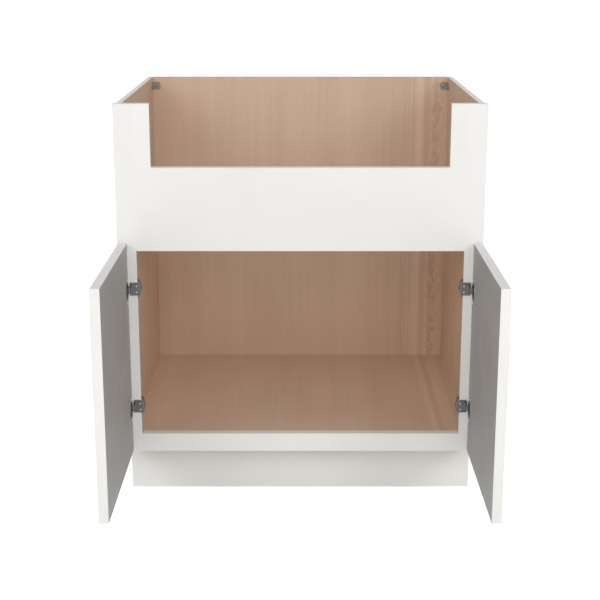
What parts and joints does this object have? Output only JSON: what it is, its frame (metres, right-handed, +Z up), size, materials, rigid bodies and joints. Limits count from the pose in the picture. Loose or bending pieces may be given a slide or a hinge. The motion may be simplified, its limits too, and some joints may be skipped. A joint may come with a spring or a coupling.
{
  "type": "sink base cabinet",
  "caption": "Framed kitchen base cabinet for an apron-front sink: U-shaped cut-out in the apron, open top, full back and floor, recessed toe kick and slab doors on compact cup hinges.",
  "frame": {"origin": "on the floor, in the middle of the cabinet's width, in the plane of the wall that its back stands against", "axes": "+Z up, +Y into the wall, +X towards the right door as seen from the front; the doors stand open at 90 degrees at rest"},
  "size_m": [0.762, 0.9914, 0.8636],
  "materials": {
    "painted_white": "smooth satin white paint on wood",
    "natural_ply": "clear-coated pale brown plywood, fine straight grain",
    "hinge_steel": "dull nickel-plated pressed steel",
    "bracket_steel": "dull zinc-plated pressed steel",
    "screw_steel": "bright zinc-plated steel"
  },
  "bodies": {
    "root": {"stile_right": "painted_white", "stile_left": "painted_white", "apron_board": "painted_white", "bottom_rail": "painted_white", "toe_kick_face": "painted_white", "side_panel_right": "natural_ply", "side_panel_left": "natural_ply", "floor_panel": "natural_ply", "back_panel": "natural_ply", "wall_rail_top": "natural_ply", "wall_rail_bottom": "natural_ply", "toe_board": "natural_ply", "hinge_plate_right_upper": "hinge_steel", "hinge_plate_right_lower": "hinge_steel", "hinge_plate_left_upper": "hinge_steel", "hinge_plate_left_lower": "hinge_steel", "hinge_arm_right_upper": "hinge_steel", "hinge_arm_right_lower": "hinge_steel", "hinge_arm_left_upper": "hinge_steel", "hinge_arm_left_lower": "hinge_steel", "corner_bracket_right": "bracket_steel", "corner_bracket_left": "bracket_steel", "arm_rivets": "screw_steel", "depth_cam_screws": "screw_steel", "hinge_plate_screws": "screw_steel", "bracket_screws": "screw_steel"},
    "door_right": {"door_right": "painted_white", "hinge_cup_right_upper": "hinge_steel", "hinge_cup_right_lower": "hinge_steel", "hinge_pin_right_upper": "hinge_steel", "hinge_pin_right_lower": "hinge_steel", "closing_spring_right_upper": "hinge_steel", "closing_spring_right_lower": "hinge_steel", "cup_screws_right": "screw_steel"},
    "door_left": {"door_left": "painted_white", "hinge_cup_left_upper": "hinge_steel", "hinge_cup_left_lower": "hinge_steel", "hinge_pin_left_upper": "hinge_steel", "hinge_pin_left_lower": "hinge_steel", "closing_spring_left_upper": "hinge_steel", "closing_spring_left_lower": "hinge_steel", "cup_screws_left": "screw_steel"}
  },
  "joints": [
    {"name": "door_right_hinge", "type": "hinge", "parent": "root", "child": "door_right", "pos_m": [0.3692, -0.6234, 0.34785], "axis": [0, 0, 1], "range_deg": [-90, 15]},
    {"name": "door_left_hinge", "type": "hinge", "parent": "root", "child": "door_left", "pos_m": [-0.3692, -0.6234, 0.34785], "axis": [0, 0, -1], "range_deg": [-90, 15]}
  ]
}
